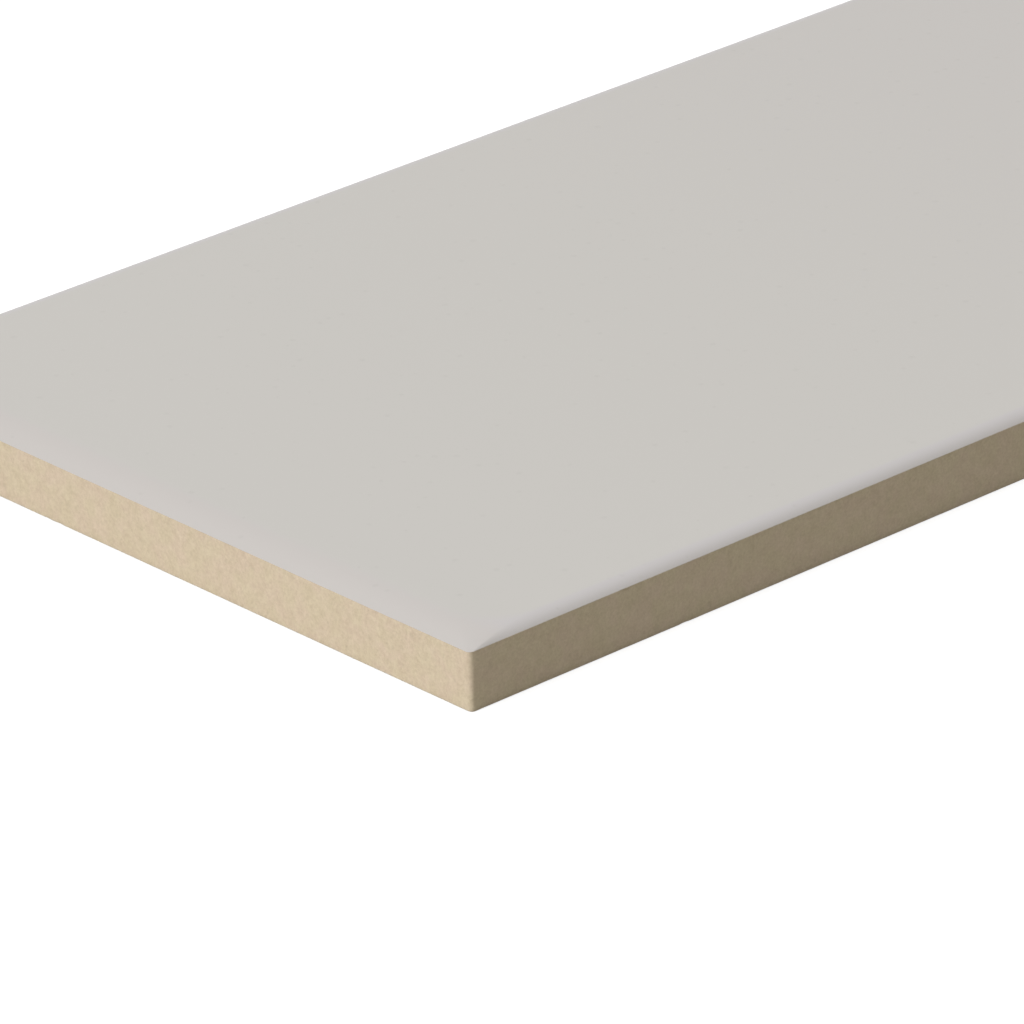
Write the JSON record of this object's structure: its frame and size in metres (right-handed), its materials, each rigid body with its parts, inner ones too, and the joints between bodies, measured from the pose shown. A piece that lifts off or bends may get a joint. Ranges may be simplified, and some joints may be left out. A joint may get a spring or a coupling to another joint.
{
  "type": "ceramic wall tile",
  "caption": "Oblong ceramic wall tile with a smooth satin-glazed face, cushioned edges, bare fired-clay sides and a waffled back that keys into adhesive.",
  "frame": {"origin": "middle of the tile's back, on the plane of its ribs", "axes": "+X along the tile's length, +Y across its width, +Z out of the glazed face; the tile lies on its back"},
  "size_m": [0.3, 0.1, 0.0075],
  "materials": {
    "glazed_clay": "pale warm-grey satin glaze on the face, bare beige biscuit on the sides and the back"
  },
  "bodies": {
    "root": {"tile": "glazed_clay"}
  },
  "joints": []
}
